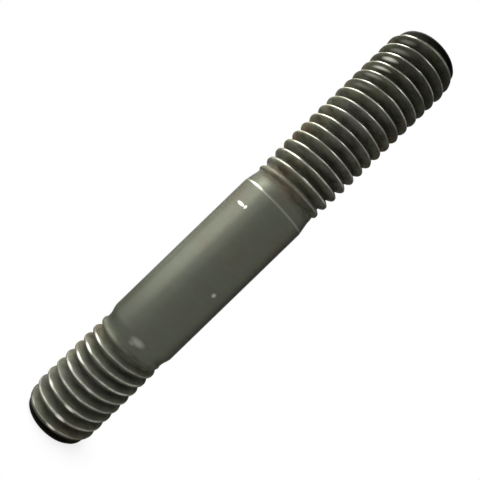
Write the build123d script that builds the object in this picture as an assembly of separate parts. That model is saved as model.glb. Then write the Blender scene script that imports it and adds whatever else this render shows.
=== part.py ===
from build123d import *
from math import ceil, radians, tan
import os

# Double ended stud, M8 x 1.25, one piece of steel: a short metal end that screws into a
# tapped casting, a plain shank and a long nut end. Both threads are rolled, right-handed
# and 60 degrees. Lengths are in millimetres. The stud stands on the face of its metal end,
# with its axis on Z and the nut end up.

# lengths along the axis
metal_end_length = 12.8        # from its face to the plain shank
shank_length = 18.2            # between the two shoulders
nut_end_length = 22.25         # from the plain shank to its face

# diameters
shank_diameter = 7.92
metal_major_diameter = 7.86    # over the crests
nut_major_diameter = 7.97
metal_neck_diameter = 7.38     # plain band between thread and shoulder
nut_neck_diameter = 7.35
tip_face_diameter = 6.5        # of each free end

# thread form
pitch = 1.25
flank_angle = 30.0             # of each flank, from square to the axis
sharp_height = pitch / 2 / tan(radians(flank_angle))
root_depth = 17 / 24 * sharp_height
crest_flat = pitch / 8

# shoulders and necks, along the axis
metal_shoulder_length = 1.25   # a smooth double curve
metal_neck_length = 0.3
nut_shoulder_length = 1.45     # a cone with a crisp edge
nut_neck_length = 0.3

# where the threads begin and fade out
tip_chamfer = 0.25             # round each free end
tip_taper = 1.5                # the first crests come up to size over this
crest_step = 0.17              # the last crest still stands this far above the neck
crest_runout = 4.5             # the crests before it sink to that height over this
root_runout = 2.0              # the root comes up to the neck over this

# each crest crosses +X this far from its own free end
metal_thread_start = 0.16
nut_thread_start = 0.95

# a ridge is made a little too tall and too long, then trimmed or buried in the core
ridge_foot = pitch / 10        # below the root
ridge_over = pitch / 16        # above the crest
ridge_overrun = pitch / 4      # into the neck

shank_radius = shank_diameter / 2
metal_major_radius = metal_major_diameter / 2
nut_major_radius = nut_major_diameter / 2
metal_root_radius = metal_major_radius - root_depth
nut_root_radius = nut_major_radius - root_depth
metal_neck_radius = metal_neck_diameter / 2
nut_neck_radius = nut_neck_diameter / 2
tip_radius = tip_face_diameter / 2
total_length = metal_end_length + shank_length + nut_end_length
metal_neck_level = metal_end_length - metal_shoulder_length - metal_neck_length
nut_neck_level = nut_end_length - nut_shoulder_length - nut_neck_length


def turned(profile):
    """Revolve a closed outline of (radius, height) about the stud's axis."""
    return revolve(make_face(Plane.XZ * profile), axis=Axis.Z)


def ridge(major_radius, start, reach):
    """A helical ridge from below height 0 to past reach, its crest crossing +X at start.

    Every turn has faces of its own, ruled between the helices of its four corners.
    """
    lowest = start - ceil(start / pitch + 1) * pitch
    turns = ceil((reach - lowest) / pitch) + 1

    def corner(radius, side, height):
        half_width = crest_flat / 2 + (major_radius - radius) * tan(radians(flank_angle))
        return Edge.make_helix(pitch, pitch, radius, (0, 0, height + side * half_width))

    foot = major_radius - root_depth - ridge_foot
    top = major_radius + ridge_over
    faces = []
    for turn in range(turns):
        height = lowest + turn * pitch
        corners = [corner(foot, -1, height), corner(top, -1, height),
                   corner(top, 1, height), corner(foot, 1, height)]
        for edge, following in zip(corners, corners[1:] + corners[:1]):
            faces.append(Face.make_surface_from_curves(edge, following))
        if turn == 0:
            faces.append(Face(Wire.make_polygon([edge @ 0 for edge in corners])))
        if turn == turns - 1:
            faces.append(Face(Wire.make_polygon([edge @ 1 for edge in corners])))
    return Solid(Shell(Face.sew_faces(faces)[0]))


def thread(major_radius, neck_radius, neck_level, start):
    """The ridge of one end, its free face at height 0, trimmed to fade out at both ends."""
    trimmed_end = neck_level + ridge_overrun
    crests = Polyline(
        (0, 0),
        (tip_radius, 0),
        (tip_radius + tip_chamfer, tip_chamfer),
        (major_radius, tip_taper),
        (major_radius, neck_level - crest_runout),
        (neck_radius + crest_step, neck_level - crest_step),
        (neck_radius, neck_level),
        (neck_radius - ridge_foot, trimmed_end),
        (0, trimmed_end),
        close=True,
    )
    return ridge(major_radius, start, trimmed_end) & turned(crests)


def core():
    """The whole stud without its ridges: roots, necks, shoulders and shank."""
    metal_side = Polyline(
        (0, 0),
        (min(tip_radius, metal_root_radius), 0),
        (metal_root_radius, tip_chamfer),
        (metal_root_radius, metal_neck_level - root_runout),
        (metal_neck_radius, metal_neck_level),
        (metal_neck_radius, metal_neck_level + metal_neck_length),
    )
    shoulder_start = metal_side @ 1
    shoulder_end = Vector(shank_radius, metal_end_length)
    hollow = TangentArc(shoulder_start, (shoulder_start + shoulder_end) / 2, tangent=(0, 1))
    swell = TangentArc(hollow @ 1, shoulder_end, tangent=hollow % 1)
    nut_side = Polyline(
        shoulder_end,
        (shank_radius, total_length - nut_end_length),
        (nut_neck_radius, total_length - nut_neck_level - nut_neck_length),
        (nut_neck_radius, total_length - nut_neck_level),
        (nut_root_radius, total_length - nut_neck_level + root_runout),
        (nut_root_radius, total_length - tip_chamfer),
        (min(tip_radius, nut_root_radius), total_length),
        (0, total_length),
        (0, 0),
    )
    return turned(metal_side + hollow + swell + nut_side)


metal_thread = thread(metal_major_radius, metal_neck_radius, metal_neck_level, metal_thread_start)
nut_thread = thread(nut_major_radius, nut_neck_radius, nut_neck_level, nut_thread_start)
nut_end_up = Pos(0, 0, total_length) * Rotation(180, 0, 0)

stud = core() + metal_thread + nut_end_up * nut_thread

os.makedirs("parts", exist_ok=True)
export_step(stud, "parts/stud.step")
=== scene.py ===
import math
import bmesh
import bpy
import numpy as np
from mathutils import Matrix, Vector


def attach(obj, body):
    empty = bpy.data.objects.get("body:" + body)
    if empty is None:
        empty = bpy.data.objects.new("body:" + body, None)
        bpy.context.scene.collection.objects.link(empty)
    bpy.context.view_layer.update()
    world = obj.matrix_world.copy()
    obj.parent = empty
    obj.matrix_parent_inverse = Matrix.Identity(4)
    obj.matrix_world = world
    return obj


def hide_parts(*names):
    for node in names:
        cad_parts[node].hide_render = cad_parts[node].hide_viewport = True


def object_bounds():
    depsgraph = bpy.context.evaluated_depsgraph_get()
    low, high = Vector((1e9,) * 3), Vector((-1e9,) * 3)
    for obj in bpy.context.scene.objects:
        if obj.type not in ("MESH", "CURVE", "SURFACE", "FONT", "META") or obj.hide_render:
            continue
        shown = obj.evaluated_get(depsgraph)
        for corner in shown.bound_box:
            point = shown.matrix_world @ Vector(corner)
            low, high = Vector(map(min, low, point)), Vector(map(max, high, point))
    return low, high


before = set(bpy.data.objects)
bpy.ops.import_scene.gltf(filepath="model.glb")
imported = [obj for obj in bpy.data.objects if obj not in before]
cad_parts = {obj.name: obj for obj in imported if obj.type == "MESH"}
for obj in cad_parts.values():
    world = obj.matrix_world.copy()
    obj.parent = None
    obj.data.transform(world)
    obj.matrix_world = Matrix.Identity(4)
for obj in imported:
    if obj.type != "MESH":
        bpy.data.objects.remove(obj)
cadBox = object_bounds()
mm = 0.001
studHeight = (cadBox[1].z - cadBox[0].z) / mm


# the stud is one steel bar with both threads rolled; lengths in millimetres
stud = {
    "metalEndLength": 12.8,     # face to plain shank
    "nutEndLength": 22.25,      # face to plain shank
    "shankRadius": 3.96,
    "pitch": 1.25,
    "flankAngle": 30.0,         # degrees from square to the axis
    "threadDepth": 0.767,
    "crestFlat": 0.34,
    "crestRounding": 0.28,      # how far the crest's corners are rolled over
    "rootRounding": 0.12,
    "tipRadius": 3.25,          # of both end faces
    "tipChamfer": 0.25,
    "tipTaper": 1.5,            # the first crests come up to size over this
    "crestRunout": 4.5,         # the last crests sink towards the neck over this
    "rootRunout": 2.0,          # the roots rise to the neck over this
    "crestStep": 0.17,          # how far the last crest still stands above the neck
    "waver": 0.1,               # how far a rolled crest strays from its helix
    "waverStart": 0.3,          # from a free end, where the crests begin to stray
    "wavesPerTurn": (0.7, 1.9, 3.3, 5.6, 8.7),
    # shallow rim and dish of each end face: inset and rise of every step
    "endRings": [(0.5, -0.01), (0.15, -0.03), (1.2, -0.03), (0.1, -0.02)],
    "columns": 156,             # of the mesh, round the stud
    # rows of the mesh from a crest to the middle of a root, as shares of half a pitch,
    # close together where the section bends
    "rows": (0, 0.08, 0.16, 0.24, 0.32, 0.416, 0.56, 0.736, 0.864, 1),
    "shankTurns": 6.0,          # turns of the mesh along the plain shank
    "spareTurns": (2, 3),       # past each end, pressed flat onto its face and welded
    "edgeSnap": 0.07,           # vertices this near a shoulder are moved onto it
    "weld": 0.00001,
    "shortest": 0.0001,         # edges under this are taken out
    "sharpAngle": 50.0,         # degrees, from which an edge is drawn crisp
}
metalEnd = {
    "majorRadius": 3.93,
    "neckRadius": 3.69,
    "neckLevel": 11.25,         # from its own face, where the thread meets the neck
    "neckLength": 0.3,
    "threadStart": 0.16,        # crest crosses +X this far from its own face
    "rubbedAndHighlitLine": (0.05, 0.12),    # middle and half width of the bright line on each crest: worn metal and a painted highlight
    "polish": (0.0, 0.08, 0.04),    # start, stop and fade of the polished side of a crest, painted paler as a sheen
    # painted shade in this end's grooves, together with its dull coating
    "dullnessAndShade": 0.6,
    "dullAndShadeReach": 0.3,           # past the thread, over which the dull coating and its painted shade fade out
}
nutEnd = {
    "majorRadius": 3.984,
    "neckRadius": 3.675,
    "neckLevel": 20.5,
    "neckLength": 0.3,
    "threadStart": 0.95,
    "rubbedAndHighlitLine": (0.09, 0.15),
    "polish": (0.05, 0.42, 0.07),
    "dullnessAndShade": 1.0,
    "dullAndShadeReach": 0.8,
}
# how coating, wear, painted shade and painted highlights lie on the threads, as shares from 0 to 1
wearShadeAndHighlight = {
    "crestDullAndShade": 0.7,
    "dullAndShadeToRoot": 0.9,           # added from crest to root: matt coating, and painted shade darker towards the root
    # painted shade in each neck past its thread, together with the dull coating
    "neckDullAndShade": 0.7,
    "ridgeHeight": (0.2, 0.86667),    # of the full depth, over which a ridge takes wear
    "lineStrength": (0.6, 0.8, 0.1),    # middle, swing and least along a crest
    "lineSeed": 3,
    "waverSeed": 8,
}


def roundedLower(a, b, rounding):
    # the lower of two, with the corner between them rolled over
    overlap = np.maximum(rounding - np.abs(a - b), 0)
    return np.minimum(a, b) - overlap ** 2 / (4 * rounding)


def roundedUpper(a, b, rounding):
    return -roundedLower(-a, -b, rounding)


def threadRadius(end, fromFace, fromCrest):
    # radius and shares of dull coating and painted shade, rubbed metal and painted highlight,
    # and polish on one threaded end, fromFace along the axis and fromCrest from the nearest crest
    slope = 1 / math.tan(math.radians(stud["flankAngle"]))
    major, neck, neckRadius = end["majorRadius"], end["neckLevel"], end["neckRadius"]
    tip, chamfer, step = stud["tipRadius"], stud["tipChamfer"], stud["crestStep"]
    root = major - stud["threadDepth"]
    crests = np.interp(
        fromFace,
        [0, chamfer, stud["tipTaper"], neck - stud["crestRunout"], neck - step, neck],
        [tip, tip + chamfer, major, major, neckRadius + step, neckRadius],
    )
    roots = np.interp(
        fromFace,
        [0, chamfer, neck - stud["rootRunout"], neck],
        [min(tip, root), root, root, neckRadius],
    )
    flank = major - (np.abs(fromCrest) - stud["crestFlat"] / 2) * slope
    outer = roundedLower(flank, crests, stud["crestRounding"])
    inner = roundedUpper(outer, roots, stud["rootRounding"])
    radius = np.minimum(inner, np.maximum(crests, roots))
    depth = np.clip((crests - radius) / stud["threadDepth"], 0, 1)
    formed = np.interp((crests - roots) / stud["threadDepth"], wearShadeAndHighlight["ridgeHeight"], [0, 1])
    dullAndShade = np.clip(wearShadeAndHighlight["crestDullAndShade"] + wearShadeAndHighlight["dullAndShadeToRoot"] * depth, 0, 1) * end["dullnessAndShade"]
    middle, half = end["rubbedAndHighlitLine"]
    rubbedAndHighlit = np.clip(1 - np.abs(fromCrest - middle) / half, 0, 1) * formed
    start, stop, fade = end["polish"]
    polishedAndSheen = np.interp(fromCrest, [start - fade, start, stop, stop + fade], [0, 1, 1, 0]) * formed
    return radius, dullAndShade, rubbedAndHighlit, polishedAndSheen


def plainRadius(z):
    # neck, shoulder, shank, shoulder and neck between the two threads
    metalNeck = metalEnd["neckLevel"] + metalEnd["neckLength"]
    metalShoulder = stud["metalEndLength"]
    nutShoulder = studHeight - stud["nutEndLength"]
    nutNeck = studHeight - nutEnd["neckLevel"] - nutEnd["neckLength"]
    rise = np.clip((z - metalNeck) / (metalShoulder - metalNeck), 0, 1)
    swell = rise * rise * (3 - 2 * rise)
    metalSide = metalEnd["neckRadius"] + (stud["shankRadius"] - metalEnd["neckRadius"]) * swell
    nutSide = np.interp(z, [nutShoulder, nutNeck], [stud["shankRadius"], nutEnd["neckRadius"]])
    return np.minimum(metalSide, nutSide)


def studRadius(angle, z):
    # radius and shares of finish, painted shade and painted highlight, at an angle in turns from +X
    # and a height in millimetres
    pitch = stud["pitch"]
    metal = (metalEnd, z, z - metalEnd["threadStart"])
    nut = (nutEnd, studHeight - z, z - studHeight + nutEnd["threadStart"])
    radius, dullAndShade, rubbedAndHighlit, polishedAndSheen = plainRadius(z), 0, 0, 0
    for end, fromFace, level in (metal, nut):
        phase = level / pitch - angle
        fromCrest = (phase - np.round(phase)) * pitch
        past = (fromFace - end["neckLevel"]) / end["dullAndShadeReach"]
        dullAndShade = np.maximum(dullAndShade, wearShadeAndHighlight["neckDullAndShade"] * np.clip(1 - past, 0, 1) * end["dullnessAndShade"])
        threaded = fromFace < end["neckLevel"]
        own = threadRadius(end, fromFace, fromCrest)
        radius, dullAndShade, rubbedAndHighlit, polishedAndSheen = (
            np.where(threaded, new, old)
            for new, old in zip(own, (radius, dullAndShade, rubbedAndHighlit, polishedAndSheen)))
    return radius, dullAndShade, rubbedAndHighlit, polishedAndSheen


def waves(turns, seed):
    # slow unevenness along a helix, between -1 and 1
    draw = np.random.default_rng(seed)
    total = np.zeros_like(turns)
    for perTurn in stud["wavesPerTurn"]:
        total += np.sin(2 * math.pi * (perTurn * turns + draw.random()))
    return total / len(stud["wavesPerTurn"])


def helixGrid():
    # every row of vertices follows a helix, so no crest is cut across by the mesh;
    # heights in millimetres, angles in turns from +X, and turns counted along each ridge
    pitch, columns = stud["pitch"], stud["columns"]
    half = np.array(stud["rows"]) / 2
    share = np.concatenate([-half[:0:-1], half[:-1]])
    metalNeck = metalEnd["neckLevel"] + metalEnd["neckLength"]
    nutNeck = studHeight - nutEnd["neckLevel"] - nutEnd["neckLength"]
    nutCrest = studHeight - nutEnd["threadStart"]
    metalTurns = (metalNeck - metalEnd["threadStart"]) / pitch
    nutTurns = (nutCrest - nutNeck) / pitch
    allTurns = round(metalTurns + stud["shankTurns"] + nutTurns)
    before, after = stud["spareTurns"]
    turnMarks = [-before, metalTurns, allTurns - nutTurns, allTurns + after]
    heightMarks = [
        metalEnd["threadStart"] - before * pitch, metalNeck, nutNeck, nutCrest + after * pitch]

    turns = np.arange(-before, allTurns + after)
    rows = (turns[:, None] + share[None, :]).ravel()
    angles = np.arange(columns) / columns
    helix = rows[:, None] + angles[None, :]
    along = np.repeat(turns, len(share))[:, None] + angles[None, :]
    z = np.clip(np.interp(helix, turnMarks, heightMarks), 0, studHeight)
    for edge in (studHeight - stud["nutEndLength"], nutNeck, stud["metalEndLength"]):
        z = np.where(np.abs(z - edge) < stud["edgeSnap"], edge, z)
    return z, np.broadcast_to(angles[None, :], z.shape), along, len(share)


def helixQuads(count, columns, perTurn):
    # between neighbouring rows; a row's last vertex meets the first of the row one turn on
    index = np.arange(count * columns).reshape(count, columns)
    onward = np.concatenate([index, np.full((perTurn, columns), -1)])[perTurn:, :1]
    following = np.concatenate([index[:, 1:], onward], axis=1)
    quads = np.stack([index[:-1], following[:-1], following[1:], index[1:]], axis=2)
    quads = quads.reshape(-1, 4)
    return quads[(quads >= 0).all(axis=1)]


def closeStud(mesh):
    # welds the spare turns that lie flat on the end faces, then fills and dishes both faces
    shape = bmesh.new()
    shape.from_mesh(mesh)
    bmesh.ops.remove_doubles(shape, verts=shape.verts, dist=stud["weld"] * mm)
    bmesh.ops.dissolve_degenerate(shape, edges=shape.edges, dist=stud["shortest"] * mm)
    rims = [edge for edge in shape.edges if edge.is_boundary]
    ends = bmesh.ops.holes_fill(shape, edges=rims, sides=0)["faces"]
    bmesh.ops.recalc_face_normals(shape, faces=shape.faces)
    for inset, rise in stud["endRings"]:
        bmesh.ops.inset_individual(shape, faces=ends, thickness=inset * mm, depth=rise * mm)
    for face in shape.faces:
        face.smooth = True
    shape.to_mesh(mesh)
    shape.free()
    mesh.set_sharp_from_angle(angle=math.radians(stud["sharpAngle"]))


def buildStud():
    z, angle, along, perTurn = helixGrid()
    radius, dullAndShade, rubbedAndHighlit, polishedAndSheen = studRadius(angle, z)
    free = np.clip(np.minimum(z, studHeight - z) - stud["waverStart"], 0, 1) * rubbedAndHighlit
    strayed = z + stud["waver"] * waves(along, wearShadeAndHighlight["waverSeed"]) * free
    turn = 2 * math.pi * angle
    points = np.stack([radius * np.cos(turn), radius * np.sin(turn), strayed], axis=2) * mm
    # the crest line's painted highlight, stronger and weaker along each crest
    middle, swing, least = wearShadeAndHighlight["lineStrength"]
    rubbedAndHighlit = rubbedAndHighlit * np.clip(middle + swing * waves(along, wearShadeAndHighlight["lineSeed"]), least, 1)

    mesh = bpy.data.meshes.new("studBody")
    quads = helixQuads(*z.shape, perTurn)
    mesh.from_pydata(points.reshape(-1, 3).tolist(), [], quads.tolist())
    for name, values in (("dullAndShade", dullAndShade), ("rubbedAndHighlit", rubbedAndHighlit), ("polishedAndSheen", polishedAndSheen)):
        mesh.attributes.new(name, "FLOAT", "POINT").data.foreach_set("value", values.ravel())
    closeStud(mesh)
    piece = bpy.data.objects.new("studBody", mesh)
    bpy.context.scene.collection.objects.link(piece)
    return piece


def addNode(tree, kind, inputs=(), **settings):
    # one node with its settings, its fixed values and the sockets that feed it; a Mix node
    # takes numbers at 2 and 3 and gives one at 0, or takes colours at 6 and 7 and gives one at 2
    node = tree.nodes.new(kind)
    for name, value in settings.items():
        setattr(node, name, value)
    for socket, value in dict(inputs).items():
        if isinstance(value, bpy.types.NodeSocket):
            tree.links.new(value, node.inputs[socket])
        else:
            node.inputs[socket].default_value = value
    return node


def linear(hexColour):
    # sRGB hex to the linear colour that the nodes take
    channels = [int(hexColour[i:i + 2], 16) / 255 for i in (1, 3, 5)]
    return [c / 12.92 if c <= 0.04045 else ((c + 0.055) / 1.055) ** 2.4 for c in channels] + [1.0]


def emptyMaterial(name):
    material = bpy.data.materials.new(name)
    material.use_nodes = True
    material.node_tree.nodes.clear()
    return material, material.node_tree


# manganese phosphated steel, rolled, then dipped and oiled: dark olive grey with a soft sheen
# and faint brown and grey patches, matt and streaked with old oil in the threads, with painted
# shade there, near black at the free ends as painted shade, and bright metal, with painted
# highlights, where the crests are rubbed
oiledSteel = {
    "plainTones": ("#505349", "#534b43", "#504d49"),    # olive, and its brown and grey patches
    # the grooves' tones: oily coating, painted darker as shade
    "grooveTones": ("#414236", "#503526", "#443d42"),
    "nearBlack": "#0f0f0d",     # near black: painted shade on both free ends, and what the nut end darkens towards
    "rubbedAndHighlit": "#b4b3a8",
    "bareAndHighlit": "#d4d2c8",
    "rimShadeTint": "#6c6c69",      # painted shade: reflections at the rims are tinted dark
    "metallic": (0.75, 0.35),    # on the plain parts and in the threads
    "specular": 0.06,           # the crystals scatter most of what they don't soak up
    "grooveRoughness": 0.7,
    "grooveDull": 0.6,          # dullness at which a surface is as rough as that
    "rubbedRoughness": 0.28,
    "polishedSheenShare": 0.3,        # how pale the polished side of a crest is painted: a painted sheen
    # patches of brown and grey, millimetres across
    "patchSize": 5.0,
    "patchNoise": {"Detail": 3.0, "Roughness": 0.55},
    "brownPatch": {"From Min": 0.5, "From Max": 0.7, "To Max": 0.45},
    "greyPatch": {"From Min": 0.5, "From Max": 0.3, "To Max": 0.5},
    # streaks of old oil, millimetres across and a third of that along the axis
    "streakSize": 1.6,
    "streakStretch": (1.0, 1.0, 3.0),
    "streakNoise": {"Detail": 3.0, "Roughness": 0.6},
    "streakShade": {"From Min": 0.35, "From Max": 0.65, "To Min": 0.6, "To Max": 1.5},
    "streakPlain": 0.06,        # how much of that the plain parts show
    # grain of the coating in millimetres: its crystals are a few microns, drawn coarser to show
    "grainSize": 0.35,
    "grainNoise": {"Detail": 2.0},
    "grainDepth": 0.002,
    "grainStrength": 0.5,
    "grainSheen": {"From Min": 0.3, "From Max": 0.7, "To Min": 0.33, "To Max": 0.38},
    "grainRubbed": {"From Min": 0.35, "From Max": 0.6, "To Min": 0.6},
    # darker towards the nut end: it starts and is full this far from the face, and how dark
    "nutEndDarkening": (10.0, 4.0, 0.42),
    # bright line past the nut end's shoulder, worn and painted as a highlight: how far, half width,
    # its core and how bare
    "edgeLine": (0.08, 0.15, 0.03, 0.14),
    "endShadeBand": (0.8, 0.45),     # the painted shade band at the free ends starts and is full this far from a face
    # turned end faces: in the hollows, painted darker as shade, and on the ridges, and the radii
    # over which they begin
    "faceTones": ("#2a2b26", "#33342e"),
    "faceRadius": (3.15, 3.0),
    "turningStep": 0.3,         # between ridges, drawn coarser than a real one to show
}
# spots of bare metal and painted glints, each a soft oval: centre and half sizes in millimetres,
# and how bare it is
bareSpotsAndGlints = [
    # painted glints on the crests of the metal end, as bare metal
    ((0.37, -3.80, 1.08), (0.70, 0.60, 0.19), 0.9),
    ((0.37, -3.85, 2.33), (0.70, 0.60, 0.22), 1.0),
    ((0.37, -3.90, 3.58), (0.70, 0.60, 0.20), 0.9),
    ((0.37, -3.90, 4.87), (0.60, 0.60, 0.13), 0.35),
    ((0.37, -3.90, 6.12), (0.60, 0.60, 0.13), 0.35),
    # painted glints along its crests, as bare metal
    ((-2.55, -2.75, 1.02), (0.75, 0.90, 0.16), 0.6),
    ((-2.55, -2.90, 3.52), (0.70, 0.90, 0.16), 0.5),
    ((-2.55, -2.90, 6.02), (0.70, 0.90, 0.16), 0.4),
    ((-2.60, -2.90, 7.25), (0.95, 1.00, 0.15), 0.8),
    ((-2.60, -2.90, 8.50), (1.10, 1.10, 0.15), 1.0),
    ((-2.60, -2.90, 9.75), (1.10, 1.10, 0.14), 0.9),
    # painted glints on the last crests of the nut end
    ((-2.60, -2.95, 47.04), (1.00, 1.10, 0.24), 0.6),
    ((-2.60, -2.95, 48.29), (1.00, 1.10, 0.24), 0.7),
    ((-2.60, -2.95, 49.54), (1.00, 1.10, 0.26), 1.0),
    ((-2.60, -2.95, 50.79), (1.00, 1.10, 0.24), 0.7),
    ((-2.60, -2.85, 51.97), (1.00, 1.10, 0.24), 0.8),
    # a painted highlight on the crisp edge of the nut end's shoulder
    ((-2.70, -2.85, 31.12), (1.25, 1.50, 0.14), 1.0),
    # a nick on the shank with a crumb below it
    ((-2.35, -3.15, 28.75), (0.60, 0.60, 0.20), 1.0),
    ((-1.78, -3.50, 28.80), (0.16, 0.30, 0.26), 0.8),
]
# pale spots that stay matt: scuffs, painted highlights and painted reflections
scuffsAndPaintedLight = [
    # a painted highlight on the metal end's shoulder, and a fleck on the shank
    ((0.37, -3.85, 12.53), (0.95, 0.60, 0.50), 0.35),
    ((0.00, -3.85, 12.12), (0.45, 0.60, 0.35), 0.2),
    ((2.20, -3.25, 20.72), (0.30, 0.35, 0.30), 0.6),
    # painted reflections on the flanks near the free end
    ((-2.40, -2.90, 45.25), (1.30, 1.40, 0.15), 0.2),
    ((-2.35, -2.90, 46.60), (1.40, 1.40, 0.13), 0.3),
    ((-2.40, -2.90, 47.75), (1.30, 1.40, 0.11), 0.85),
    ((-2.45, -2.90, 48.98), (1.10, 1.40, 0.14), 1.0),
    ((-2.30, -2.90, 50.20), (1.40, 1.40, 0.16), 0.25),
    ((-2.40, -2.80, 51.45), (1.10, 1.40, 0.14), 0.2),
]
paleSpotLean = 4                   # degrees, as the thread leans
ovalFade = {"From Min": 1.0, "From Max": 0.3}    # from an oval's edge to where it is full


def strongest(tree, place, spots, lean=0):
    # the most that any of the ovals gives here
    most = None
    for centre, sizes, strength in spots:
        local = addNode(tree, "ShaderNodeMapping", {
            "Vector": place, "Location": [c * mm for c in centre],
            "Rotation": (0, math.radians(-lean), 0), "Scale": [size * mm for size in sizes],
        }, vector_type="TEXTURE").outputs[0]
        distance = addNode(
            tree, "ShaderNodeVectorMath", {0: local}, operation="LENGTH").outputs["Value"]
        share = addNode(tree, "ShaderNodeMapRange", {
            "Value": distance, **ovalFade, "To Max": strength}).outputs["Result"]
        if most is None:
            most = share
        else:
            most = addNode(
                tree, "ShaderNodeMath", {0: most, 1: share}, operation="MAXIMUM").outputs[0]
    return most


def coatingColour(tree, place, height, dullAndShade):
    # the coating as it lies, before wear: patches, then streaks, then darker towards the nut end
    patch = addNode(tree, "ShaderNodeTexNoise", {
        "Vector": place, "Scale": 1 / (oiledSteel["patchSize"] * mm), **oiledSteel["patchNoise"],
    }).outputs["Fac"]
    brownPatch = addNode(tree, "ShaderNodeMapRange", {
        "Value": patch, **oiledSteel["brownPatch"]}).outputs["Result"]
    greyPatch = addNode(tree, "ShaderNodeMapRange", {
        "Value": patch, **oiledSteel["greyPatch"]}).outputs["Result"]
    tones = []
    for olive, brown, grey in (oiledSteel["plainTones"], oiledSteel["grooveTones"]):
        warm = addNode(tree, "ShaderNodeMix", {
            "Factor": brownPatch, 6: linear(olive), 7: linear(brown)}, data_type="RGBA").outputs[2]
        tones.append(addNode(tree, "ShaderNodeMix", {
            "Factor": greyPatch, 6: warm, 7: linear(grey)}, data_type="RGBA").outputs[2])
    # darker in the threads and towards the roots: matt oily coating, and painted shade
    coat = addNode(tree, "ShaderNodeMix", {
        "Factor": dullAndShade, 6: tones[0], 7: tones[1]}, data_type="RGBA").outputs[2]

    drawnOut = addNode(tree, "ShaderNodeVectorMath", {
        0: place, 1: oiledSteel["streakStretch"]}, operation="MULTIPLY").outputs[0]
    streak = addNode(tree, "ShaderNodeTexNoise", {
        "Vector": drawnOut, "Scale": 1 / (oiledSteel["streakSize"] * mm),
        **oiledSteel["streakNoise"]}).outputs["Fac"]
    shade = addNode(tree, "ShaderNodeMapRange", {
        "Value": streak, **oiledSteel["streakShade"]}).outputs["Result"]
    streaked = addNode(
        tree, "ShaderNodeVectorMath", {0: coat, "Scale": shade}, operation="SCALE").outputs[0]
    streakShare = addNode(tree, "ShaderNodeMapRange", {
        "Value": dullAndShade, "To Min": oiledSteel["streakPlain"]}).outputs["Result"]
    coat = addNode(tree, "ShaderNodeMix", {
        "Factor": streakShare, 6: coat, 7: streaked}, data_type="RGBA").outputs[2]

    start, full, most = oiledSteel["nutEndDarkening"]
    nutEndDarkening = addNode(tree, "ShaderNodeMapRange", {
        "Value": height, "From Min": (studHeight - start) * mm,
        "From Max": (studHeight - full) * mm, "To Max": most}).outputs["Result"]
    return addNode(tree, "ShaderNodeMix", {
        "Factor": nutEndDarkening, 6: coat, 7: linear(oiledSteel["nearBlack"])}, data_type="RGBA").outputs[2]


def edgeWearAndHighlight(tree, height):
    # the thin bright line where the nut end's shoulder begins: a worn edge with a painted highlight
    depth, reach, core, most = oiledSteel["edgeLine"]
    edge = (studHeight - stud["nutEndLength"] + depth) * mm
    past = addNode(
        tree, "ShaderNodeMath", {0: height, 1: edge}, operation="SUBTRACT").outputs[0]
    distance = addNode(tree, "ShaderNodeMath", {0: past}, operation="ABSOLUTE").outputs[0]
    return addNode(tree, "ShaderNodeMapRange", {
        "Value": distance, "From Min": reach * mm, "From Max": core * mm,
        "To Max": most}).outputs["Result"]


def shadedEndBand(tree, height):
    # 1 round both free ends, where the chamfers and rims are painted black as shade
    half = studHeight * mm / 2
    start, full = oiledSteel["endShadeBand"]
    middle = addNode(tree, "ShaderNodeMath", {0: height, 1: half}, operation="SUBTRACT").outputs[0]
    outwards = addNode(tree, "ShaderNodeMath", {0: middle}, operation="ABSOLUTE").outputs[0]
    return addNode(tree, "ShaderNodeMapRange", {
        "Value": outwards, "From Min": half - start * mm,
        "From Max": half - full * mm}).outputs["Result"]


def turnedFace(tree, place):
    # the ridges that turning leaves on an end face, and its colour out to the rim painted black as
    # shade
    flat = addNode(
        tree, "ShaderNodeVectorMath", {0: place, 1: (1, 1, 0)}, operation="MULTIPLY").outputs[0]
    radius = addNode(
        tree, "ShaderNodeVectorMath", {0: flat}, operation="LENGTH").outputs["Value"]
    outside, inside = oiledSteel["faceRadius"]
    onFace = addNode(tree, "ShaderNodeMapRange", {
        "Value": radius, "From Min": outside * mm, "From Max": inside * mm}).outputs["Result"]
    cycle = addNode(tree, "ShaderNodeMath", {
        0: radius, 1: 2 * math.pi / (oiledSteel["turningStep"] * mm)}, operation="MULTIPLY")
    swing = addNode(tree, "ShaderNodeMath", {0: cycle.outputs[0]}, operation="SINE").outputs[0]
    ridges = addNode(tree, "ShaderNodeMapRange", {
        "Value": swing, "From Min": -1.0, "To Max": onFace}).outputs["Result"]
    shadedHollow, top = oiledSteel["faceTones"]
    face = addNode(tree, "ShaderNodeMix", {
        "Factor": ridges, 6: linear(shadedHollow), 7: linear(top)}, data_type="RGBA").outputs[2]
    colour = addNode(tree, "ShaderNodeMix", {
        "Factor": onFace, 6: linear(oiledSteel["nearBlack"]), 7: face}, data_type="RGBA")
    return ridges, colour.outputs[2]


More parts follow.
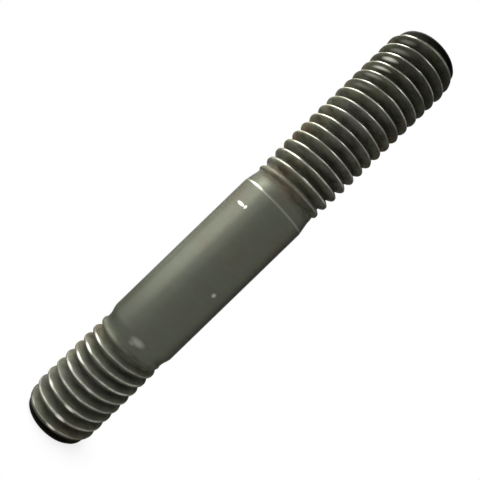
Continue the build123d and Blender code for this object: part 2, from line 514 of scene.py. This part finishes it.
def wearAndHighlightShares(tree, place, height, grain):
    # shares of rubbed metal with painted highlights and sheen, of metal worn bright with painted
    # glints, and of all that shines
    rubbedAndHighlit, polishedAndSheen = (
        addNode(tree, "ShaderNodeAttribute", attribute_name=name).outputs["Fac"]
        for name in ("rubbedAndHighlit", "polishedAndSheen"))
    kept = addNode(tree, "ShaderNodeMapRange", {
        "Value": grain, **oiledSteel["grainRubbed"]}).outputs["Result"]
    bareAndHighlit = addNode(tree, "ShaderNodeMath", {0: rubbedAndHighlit, 1: kept}, operation="MULTIPLY").outputs[0]
    paintedSheen = addNode(tree, "ShaderNodeMath", {
        0: polishedAndSheen, 1: oiledSteel["polishedSheenShare"]}, operation="MULTIPLY").outputs[0]
    for more in (paintedSheen, strongest(tree, place, scuffsAndPaintedLight, paleSpotLean)):
        bareAndHighlit = addNode(tree, "ShaderNodeMath", {0: bareAndHighlit, 1: more}, operation="MAXIMUM").outputs[0]
    wearAndGlints = addNode(tree, "ShaderNodeMath", {
        0: strongest(tree, place, bareSpotsAndGlints), 1: edgeWearAndHighlight(tree, height)},
        operation="MAXIMUM").outputs[0]
    bright = addNode(tree, "ShaderNodeMath", {0: polishedAndSheen, 1: wearAndGlints}, operation="MAXIMUM").outputs[0]
    return bareAndHighlit, wearAndGlints, bright


def makeOiledSteel():
    material, tree = emptyMaterial("oiledPhosphatedSteel")
    place = addNode(tree, "ShaderNodeTexCoord").outputs["Object"]
    height = addNode(tree, "ShaderNodeSeparateXYZ", {0: place}).outputs["Z"]
    dullAndShade = addNode(tree, "ShaderNodeAttribute", attribute_name="dullAndShade").outputs["Fac"]
    grain = addNode(tree, "ShaderNodeTexNoise", {
        "Vector": place, "Scale": 1 / (oiledSteel["grainSize"] * mm), **oiledSteel["grainNoise"],
    }).outputs["Fac"]
    tip = shadedEndBand(tree, height)
    ridges, endColour = turnedFace(tree, place)
    bareAndHighlit, wearAndGlints, bright = wearAndHighlightShares(tree, place, height, grain)

    colour = coatingColour(tree, place, height, dullAndShade)
    rubbedTone, bareTone = linear(oiledSteel["rubbedAndHighlit"]), linear(oiledSteel["bareAndHighlit"])
    for share, tone in ((bareAndHighlit, rubbedTone), (wearAndGlints, bareTone), (tip, endColour)):
        colour = addNode(tree, "ShaderNodeMix", {
            "Factor": share, 6: colour, 7: tone}, data_type="RGBA").outputs[2]

    # gloss: a soft sheen on the plain parts, matt grooves, clear reflections on bright metal
    roughness = addNode(tree, "ShaderNodeMapRange", {
        "Value": grain, **oiledSteel["grainSheen"]}).outputs["Result"]
    matt = addNode(tree, "ShaderNodeMapRange", {
        "Value": dullAndShade, "From Max": oiledSteel["grooveDull"]}).outputs["Result"]
    rough, glossy = oiledSteel["grooveRoughness"], oiledSteel["rubbedRoughness"]
    for share, value in ((matt, rough), (bright, glossy), (tip, rough)):
        roughness = addNode(tree, "ShaderNodeMix", {
            "Factor": share, 2: roughness, 3: value}).outputs[0]

    # the thin coating still lets metal through, but not on the free ends painted as shade
    plain, threaded = oiledSteel["metallic"]
    coated = addNode(tree, "ShaderNodeMapRange", {
        "Value": dullAndShade, "To Min": plain, "To Max": threaded}).outputs["Result"]
    metal = addNode(tree, "ShaderNodeMath", {0: coated, 1: bright}, operation="MAXIMUM").outputs[0]
    metal = addNode(tree, "ShaderNodeMix", {"Factor": tip, 2: metal, 3: 0.0}).outputs[0]

    relief = addNode(
        tree, "ShaderNodeMath", {0: ridges, 1: tip, 2: grain}, operation="MULTIPLY_ADD").outputs[0]
    bump = addNode(tree, "ShaderNodeBump", {
        "Height": relief, "Strength": oiledSteel["grainStrength"],
        "Distance": oiledSteel["grainDepth"] * mm}).outputs["Normal"]
    shader = addNode(tree, "ShaderNodeBsdfPrincipled", {
        "Base Color": colour, "Metallic": metal, "Roughness": roughness, "Normal": bump,
        "Specular IOR Level": oiledSteel["specular"],
        "Specular Tint": linear(oiledSteel["rimShadeTint"])})
    addNode(tree, "ShaderNodeOutputMaterial", {"Surface": shader.outputs["BSDF"]})
    return material


# a matt white card under the stud in a plain white room, and five soft lamps
studio = {
    "cardColour": "#c8c8c6",
    "floorRadius": 1.5,         # metres
    "floorSides": 64,
    "shadowReach": (-0.006, 0.007),    # metres from the stud over which the card turns plain white
    "plainWhite": 1.0,          # how bright room and card look
    "roomLight": 0.32,          # how much of that the room gives as light
    # each lamp faces the stud's middle and is placed from there; metres, and brightness
    # against a plain white card
    "lamps": {
        "window": {"place": (-0.046, 0.035, 0.069), "size": (0.20, 0.060), "brightness": 9.5},
        "backPanel": {"place": (-0.053, 0.045, 0.018), "size": (0.04, 0.088), "brightness": 6.0},
        "sidePanel": {
            "place": (-0.069, -0.012, 0.005), "size": (0.076, 0.060), "brightness": 3.35},
        "frontPanel": {"place": (-0.062, -0.072, 0.010), "size": (0.07, 0.07), "brightness": 0.9},
        "handLamp": {"place": (0.031, -0.114, 0.254), "size": (0.06, 0.06), "brightness": 9.0},
    },
}


def seenDirectly(tree):
    # 1 for rays from the camera, or off metal or through glass
    path = addNode(tree, "ShaderNodeLightPath").outputs
    bent = addNode(tree, "ShaderNodeMath", {
        0: path["Is Glossy Ray"], 1: path["Is Transmission Ray"]}, operation="MAXIMUM").outputs[0]
    return addNode(tree, "ShaderNodeMath", {
        0: path["Is Camera Ray"], 1: bent}, operation="MAXIMUM").outputs[0]


def makeFloor():
    # uncoated white card, matt: it takes a soft shadow, and further off it is plain white
    material, tree = emptyMaterial("mattWhiteCard")
    place = addNode(tree, "ShaderNodeTexCoord").outputs["Object"]
    distance = addNode(
        tree, "ShaderNodeVectorMath", {0: place}, operation="LENGTH").outputs["Value"]
    near, far = studio["shadowReach"]
    away = addNode(tree, "ShaderNodeMapRange", {
        "Value": distance, "From Min": near, "From Max": far},
        interpolation_type="SMOOTHSTEP").outputs["Result"]
    plain = addNode(tree, "ShaderNodeMath", {
        0: seenDirectly(tree), 1: away}, operation="MULTIPLY").outputs[0]
    card = addNode(tree, "ShaderNodeBsdfDiffuse", {"Color": linear(studio["cardColour"])})
    white = addNode(tree, "ShaderNodeEmission", {
        "Color": (1, 1, 1, 1), "Strength": studio["plainWhite"]})
    both = addNode(tree, "ShaderNodeMixShader", {
        0: plain, 1: card.outputs[0], 2: white.outputs[0]})
    addNode(tree, "ShaderNodeOutputMaterial", {"Surface": both.outputs[0]})

    mesh = bpy.data.meshes.new("floor")
    disc = bmesh.new()
    bmesh.ops.create_circle(
        disc, cap_ends=True, segments=studio["floorSides"], radius=studio["floorRadius"])
    disc.to_mesh(mesh)
    disc.free()
    mesh.materials.append(material)
    floor = bpy.data.objects.new("floor", mesh)
    floor.location.z = cadBox[0].z
    bpy.context.scene.collection.objects.link(floor)


def makeWorld():
    world = bpy.data.worlds.new("studioRoom")
    bpy.context.scene.world = world
    world.use_nodes = True
    tree = world.node_tree
    tree.nodes.clear()
    strength = addNode(tree, "ShaderNodeMapRange", {
        "Value": seenDirectly(tree), "To Min": studio["roomLight"],
        "To Max": studio["plainWhite"]}).outputs["Result"]
    room = addNode(tree, "ShaderNodeBackground", {"Color": (1, 1, 1, 1), "Strength": strength})
    addNode(tree, "ShaderNodeOutputWorld", {"Surface": room.outputs[0]})


def makeLamps():
    middle = (cadBox[0] + cadBox[1]) / 2
    for name, lamp in studio["lamps"].items():
        light = bpy.data.lights.new(name, "AREA")
        light.shape = "RECTANGLE"
        light.size, light.size_y = lamp["size"]
        light.energy = lamp["brightness"] * math.pi * light.size * light.size_y
        placed = bpy.data.objects.new(name, light)
        away = Vector(lamp["place"])
        placed.location = middle + away
        placed.rotation_euler = away.to_track_quat("Z", "Y").to_euler()
        placed.visible_camera = False
        bpy.context.scene.collection.objects.link(placed)


# a hand-held view square to the stud, rolled so that it lies from lower left to upper right
view = {
    "distance": 47.7,           # millimetres from the stud's axis
    "height": 26.27,            # where the view meets the axis, above the metal end's face
    "side": 0.12,               # towards +X
    "roll": 44.04,              # degrees
    "tilt": 0.4,                # degrees up, the nut end a little farther
    "lens": 34.71,
    "sensor": 36,               # width
    "nearest": 1.0,             # what is nearer than this isn't drawn
}


def makeCamera():
    camera = bpy.data.cameras.new("camera")
    camera.sensor_width = view["sensor"]
    camera.lens = view["lens"]
    camera.clip_start = view["nearest"] * mm
    roll, tilt = math.radians(view["roll"]), math.radians(view["tilt"])
    forward = Vector((0, math.cos(tilt), math.sin(tilt)))
    along = Vector((0, -math.sin(tilt), math.cos(tilt)))
    across = Vector((1, 0, 0))
    right = math.cos(roll) * along + math.sin(roll) * across
    up = math.sin(roll) * along - math.cos(roll) * across
    spot = Vector((view["side"], 0, view["height"])) * mm - forward * view["distance"] * mm
    placed = bpy.data.objects.new("camera", camera)
    turned = Matrix((right, up, -forward)).transposed()
    placed.matrix_world = Matrix.Translation(spot) @ turned.to_4x4()
    bpy.context.scene.collection.objects.link(placed)
    bpy.context.scene.camera = placed


print("stud mesh")
body = buildStud()
print("steel")
body.data.materials.append(makeOiledSteel())
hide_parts("stud")
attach(body, "root")
print("studio and camera")
makeFloor()
makeWorld()
makeLamps()
makeCamera()
bpy.context.scene.view_settings.view_transform = "Standard"
